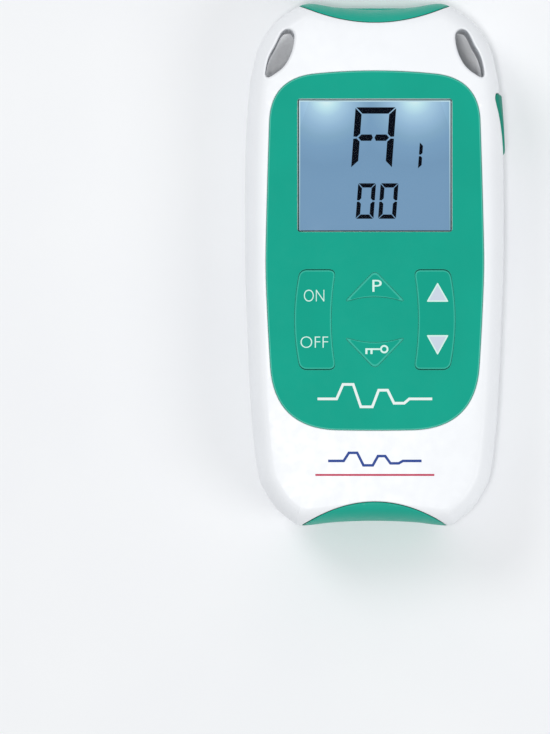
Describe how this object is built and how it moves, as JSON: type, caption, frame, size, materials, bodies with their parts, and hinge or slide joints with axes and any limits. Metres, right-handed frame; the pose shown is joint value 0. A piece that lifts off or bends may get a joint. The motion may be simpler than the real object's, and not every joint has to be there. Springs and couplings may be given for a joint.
{
  "type": "tens unit",
  "caption": "Handheld TENS pulse generator: waisted white case with jade-green fascia, backlit LCD, rubber keys, side boost button, end lead sockets and a sliding battery door.",
  "frame": {"origin": "middle of the back's rest plane, under the middle of the case", "axes": "+Z out of the face, +Y towards the lead-socket end, +X towards the boost-button side"},
  "size_m": [0.0616, 0.1236, 0.0249],
  "materials": {
    "white_plastic": "satin-gloss white ABS",
    "green_fascia": "fine matt texture, jade green",
    "green_cap": "satin jade green",
    "green_rubber": "matt silicone rubber, jade green",
    "clear_window": "clear polished acrylic",
    "lcd_glass": "blue-grey backlit display",
    "black_plastic": "black moulded plastic",
    "diffuser": "white light guide",
    "led_package": "white LED package",
    "conductive_rubber": "carbon-filled rubber",
    "circuit_board": "green solder mask",
    "chip_epoxy": "black epoxy",
    "transformer": "yellow-taped winding",
    "capacitor_sleeve": "dark sleeve",
    "ferrite": "ferrite drum core",
    "plated_steel": "nickel-plated steel",
    "cell_wrap": "plain shrink wrap"
  },
  "bodies": {
    "case": {"front_shell": "white_plastic", "rear_shell": "white_plastic", "top_end_cap": "green_cap", "bottom_end_cap": "green_cap", "fascia_panel": "green_fascia", "display_window": "clear_window", "lcd_glass": "lcd_glass", "lcd_holder": "black_plastic", "lcd_backlight": "diffuser", "lcd_zebra_strip": "conductive_rubber", "backlight_led_left": "led_package", "backlight_led_right": "led_package", "keypad_mat": "conductive_rubber", "main_board": "circuit_board", "microcontroller": "chip_epoxy", "pulse_transformer_left": "transformer", "pulse_transformer_right": "transformer", "storage_capacitor": "capacitor_sleeve", "boost_coil": "ferrite", "lead_socket_left": "black_plastic", "lead_socket_right": "black_plastic", "boost_switch": "black_plastic", "battery_left": "cell_wrap", "battery_right": "cell_wrap", "battery_spring_left": "plated_steel", "battery_spring_right": "plated_steel", "contact_plate_left": "plated_steel", "contact_plate_right": "plated_steel", "spring_plate_left": "plated_steel", "spring_plate_right": "plated_steel", "case_screw_top_left": "plated_steel", "case_screw_top_right": "plated_steel", "case_screw_bottom_left": "plated_steel", "case_screw_bottom_right": "plated_steel"},
    "on_off_rocker": {"key_on_off": "green_rubber", "on_contact": "conductive_rubber", "off_contact": "conductive_rubber"},
    "intensity_rocker": {"key_intensity": "green_rubber", "up_contact": "conductive_rubber", "down_contact": "conductive_rubber"},
    "program_key": {"key_program": "green_rubber", "program_contact": "conductive_rubber"},
    "lock_key": {"key_lock": "green_rubber", "lock_contact": "conductive_rubber"},
    "boost_key": {"boost_button": "green_rubber"},
    "door": {"battery_door": "white_plastic"}
  },
  "joints": [
    {"name": "on_off_rock", "type": "hinge", "parent": "case", "child": "on_off_rocker", "pos_m": [-0.0134, -0.01295, 0.0211], "axis": [1, 0, 0], "range_deg": [-2.2, 2.2], "stiffness_Nm_per_rad": 0.05},
    {"name": "intensity_rock", "type": "hinge", "parent": "case", "child": "intensity_rocker", "pos_m": [0.0134, -0.01295, 0.0211], "axis": [1, 0, 0], "range_deg": [-2.2, 2.2], "stiffness_Nm_per_rad": 0.05},
    {"name": "program_press", "type": "slide", "parent": "case", "child": "program_key", "axis": [0, 0, -1], "range_m": [0, 0.0003], "stiffness_N_per_m": 600},
    {"name": "lock_press", "type": "slide", "parent": "case", "child": "lock_key", "axis": [0, 0, -1], "range_m": [0, 0.0003], "stiffness_N_per_m": 600},
    {"name": "boost_press", "type": "slide", "parent": "case", "child": "boost_key", "axis": [-1, 0, 0], "range_m": [0, 0.0005], "stiffness_N_per_m": 600},
    {"name": "battery_door_slide", "type": "slide", "parent": "case", "child": "door", "axis": [0, -1, 0], "range_m": [0, 0.008]}
  ]
}
